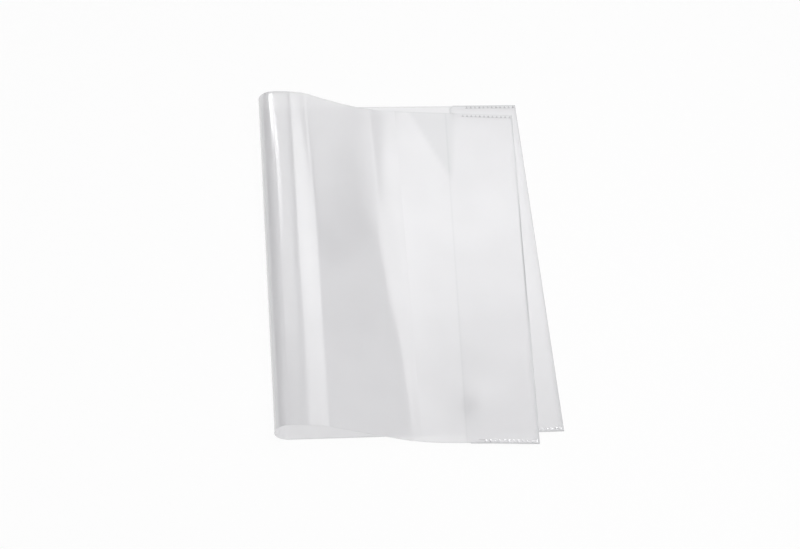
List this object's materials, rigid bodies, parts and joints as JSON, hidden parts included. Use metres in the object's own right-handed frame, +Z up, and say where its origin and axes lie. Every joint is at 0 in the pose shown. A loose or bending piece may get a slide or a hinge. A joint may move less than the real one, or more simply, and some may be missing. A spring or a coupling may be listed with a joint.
{
  "type": "clear plastic book cover",
  "caption": "Clear film slip-on cover for an exercise book, with a loose rolled spine and a welded pocket flap at each fore-edge.",
  "frame": {"origin": "middle of the underside of the flat back panel, where the closed cover rests on a table", "axes": "+X from the spine roll towards the back fore-edge, +Y from tail to head along the back fore-edge, +Z up from the table"},
  "size_m": [0.2201, 0.3159, 0.0245],
  "materials": {
    "film": "clear, glossy, faintly milky",
    "weld": "pressed, slightly frosted"
  },
  "bodies": {
    "back": {"back_panel": "film", "back_fold": "film", "back_flap": "film", "back_head_weld": "weld", "back_tail_weld": "weld"},
    "lower_roll": {"roll_strip_1": "film", "roll_strip_2": "film", "roll_strip_3": "film", "roll_strip_4": "film"},
    "upper_roll": {"roll_strip_5": "film", "roll_strip_6": "film", "roll_strip_7": "film", "roll_strip_8": "film"},
    "shoulder": {"crest_strip_1": "film", "crest_strip_2": "film", "crest_strip_3": "film", "slope_strip": "film"},
    "foot": {"foot_strip_1": "film", "foot_strip_2": "film"},
    "front": {"front_panel": "film", "front_fold": "film", "front_flap": "film", "front_head_weld": "weld", "front_tail_weld": "weld"}
  },
  "joints": [
    {"name": "lower_roll_bend", "type": "hinge", "parent": "back", "child": "lower_roll", "pos_m": [-0.10193, 0.00267, 0.0001], "axis": [-0.0262, -0.9997, 0], "range_deg": [0, 43.75]},
    {"name": "upper_roll_bend", "type": "hinge", "parent": "lower_roll", "child": "upper_roll", "pos_m": [-0.11391, 0.00298, 0.01158], "axis": [-0.0262, -0.9997, 0], "range_deg": [0, 87.5]},
    {"name": "shoulder_bend", "type": "hinge", "parent": "upper_roll", "child": "shoulder", "pos_m": [-0.10298, 0.0027, 0.02405], "axis": [-0.0262, -0.9997, 0], "range_deg": [0, 61.95]},
    {"name": "foot_bend", "type": "hinge", "parent": "shoulder", "child": "foot", "pos_m": [-0.02442, 0.00064, 0.00563], "axis": [-0.0262, -0.9997, 0], "range_deg": [-4.2, 0]},
    {"name": "front_bend", "type": "hinge", "parent": "foot", "child": "front", "pos_m": [-0.0028, 0.00007, 0.0022], "axis": [-0.0262, -0.9997, 0], "range_deg": [-9, 0]}
  ],
  "couplings": [
    {"joint": "lower_roll_bend", "follows": "shoulder_bend", "ratio": 0.70624},
    {"joint": "upper_roll_bend", "follows": "shoulder_bend", "ratio": 1.4125},
    {"joint": "foot_bend", "follows": "shoulder_bend", "ratio": -0.067764},
    {"joint": "front_bend", "follows": "shoulder_bend", "ratio": -0.14528}
  ]
}
